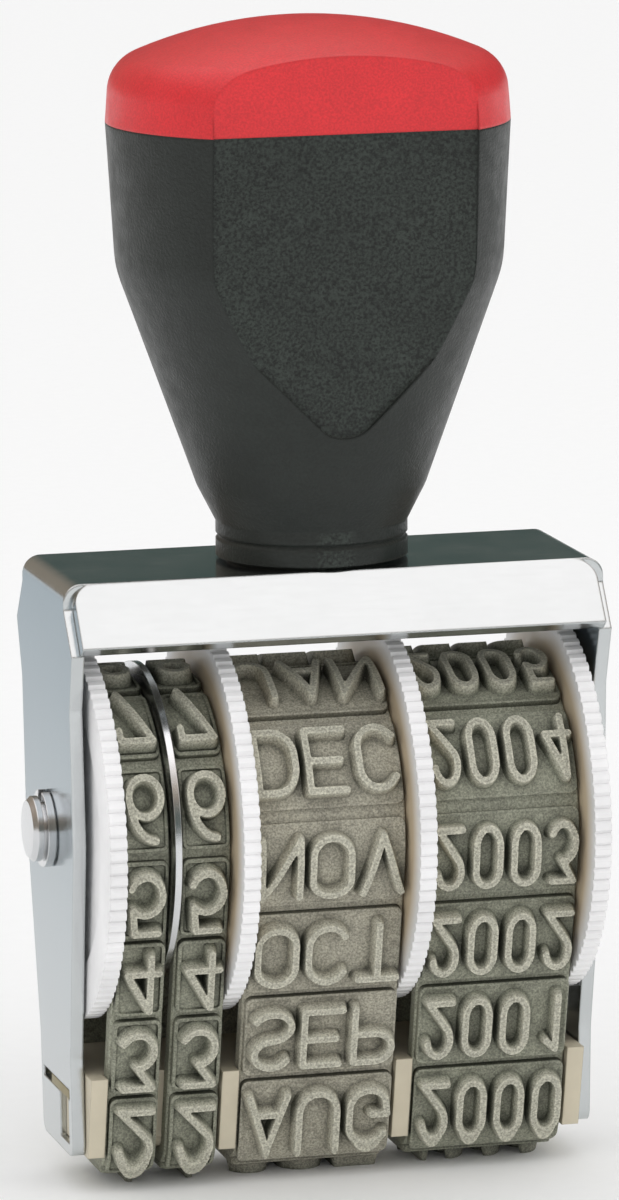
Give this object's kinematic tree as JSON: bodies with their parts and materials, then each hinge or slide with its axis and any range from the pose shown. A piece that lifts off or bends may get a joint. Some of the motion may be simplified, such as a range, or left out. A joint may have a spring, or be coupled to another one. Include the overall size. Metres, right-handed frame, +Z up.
{
  "type": "hand date stamp",
  "caption": "Hand band stamp with endless rubber date bands on turning thumbwheels in a folded steel frame, under a flared plastic grip with a domed cap.",
  "frame": {"origin": "middle of the printing row, in the plane of its type faces", "axes": "+X along the axle to the right of the reader, +Y to the back, +Z up through the grip"},
  "size_m": [0.0448, 0.0292, 0.0883],
  "materials": {
    "sheet_steel": "satin nickel plate",
    "bright_steel": "bright turned steel",
    "white_wheel": "smooth moulded",
    "drum_plastic": "smooth moulded",
    "type_rubber": "matt moulded",
    "cream_plastic": "smooth moulded",
    "bar_brass": "dull",
    "black_grip": "fine grained",
    "red_cap": "fine grained"
  },
  "bodies": {
    "stamp_frame": {"frame": "sheet_steel", "axle": "bright_steel", "axle_clips": "bright_steel", "band_day_tens": "type_rubber", "band_day_units": "type_rubber", "band_month": "type_rubber", "band_year": "type_rubber", "day_divider": "bright_steel", "platen": "cream_plastic", "platen_bar": "bar_brass", "handle_grip": "black_grip", "handle_cap": "red_cap", "screw_washer": "bright_steel", "handle_screw": "bright_steel"},
    "day_tens_wheel": {"thumbwheel_day_tens": "white_wheel", "drum_day_tens": "drum_plastic"},
    "day_units_wheel": {"thumbwheel_day_units": "white_wheel", "drum_day_units": "drum_plastic"},
    "month_wheel": {"thumbwheel_month": "white_wheel", "drum_month": "drum_plastic"},
    "year_wheel": {"thumbwheel_year": "white_wheel", "drum_year": "drum_plastic"}
  },
  "joints": [
    {"name": "day_tens_turn", "type": "hinge", "parent": "stamp_frame", "child": "day_tens_wheel", "pos_m": [0, 0, 0.0274], "axis": [1, 0, 0], "continuous": true},
    {"name": "day_units_turn", "type": "hinge", "parent": "stamp_frame", "child": "day_units_wheel", "pos_m": [0, 0, 0.0274], "axis": [1, 0, 0], "continuous": true},
    {"name": "month_turn", "type": "hinge", "parent": "stamp_frame", "child": "month_wheel", "pos_m": [0, 0, 0.0274], "axis": [1, 0, 0], "continuous": true},
    {"name": "year_turn", "type": "hinge", "parent": "stamp_frame", "child": "year_wheel", "pos_m": [0, 0, 0.0274], "axis": [1, 0, 0], "continuous": true}
  ]
}
